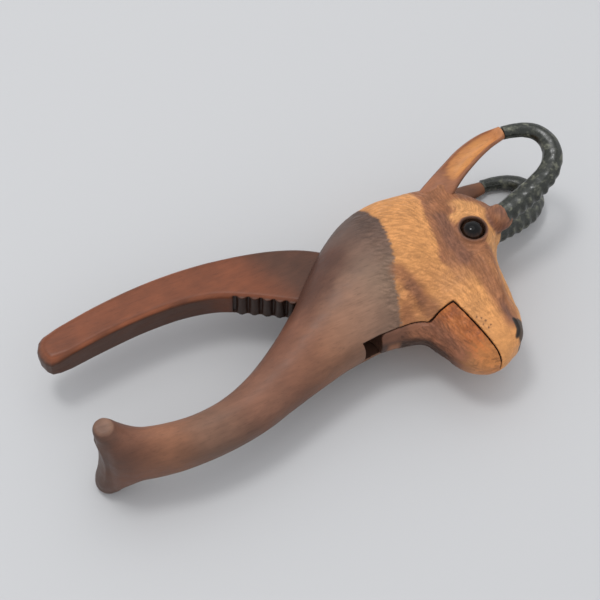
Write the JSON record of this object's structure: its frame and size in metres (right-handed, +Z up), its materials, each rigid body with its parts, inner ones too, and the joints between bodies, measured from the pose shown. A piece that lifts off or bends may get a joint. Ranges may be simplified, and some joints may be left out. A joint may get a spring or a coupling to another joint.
{
  "type": "nutcracker",
  "caption": "Carved wooden lever nutcracker shaped as a horned goat-antelope's head: one handle is the neck, the other passes through it and ends in the hinged lower jaw.",
  "frame": {"origin": "middle of the base of the object's box, as it lies on its left side on a table", "axes": "+X from the handles to the horns, +Y from the muzzle's side to the back of the neck, +Z up towards the animal's right side, along the hinge axis"},
  "size_m": [0.2452, 0.1003, 0.052],
  "materials": {
    "walnut": "satin",
    "lever_wood": "satin",
    "ear_wood": "satin",
    "horn_black": "semi-gloss black stain",
    "dowel_wood": "raw",
    "eye_glass": "clear",
    "eye_paint": "painted",
    "pin_steel": "drawn"
  },
  "bodies": {
    "neck": {"head_neck_and_handle": "walnut", "pivot_pin": "pin_steel", "pin_plug_right": "walnut", "pin_plug_left": "walnut", "horn_right": "horn_black", "horn_left": "horn_black", "horn_dowel_right": "dowel_wood", "horn_dowel_left": "dowel_wood", "ear_right": "ear_wood", "ear_left": "ear_wood", "ear_dowel_right": "dowel_wood", "ear_dowel_left": "dowel_wood", "eye_glass_right": "eye_glass", "eye_glass_left": "eye_glass", "eye_iris_right": "eye_paint", "eye_iris_left": "eye_paint"},
    "lever": {"lever_with_lower_jaw": "lever_wood"}
  },
  "joints": [
    {"name": "jaw_hinge", "type": "hinge", "parent": "neck", "child": "lever", "pos_m": [0.0247, -0.0087, 0.026], "axis": [0, 0, -1], "range_deg": [0, 24]}
  ]
}
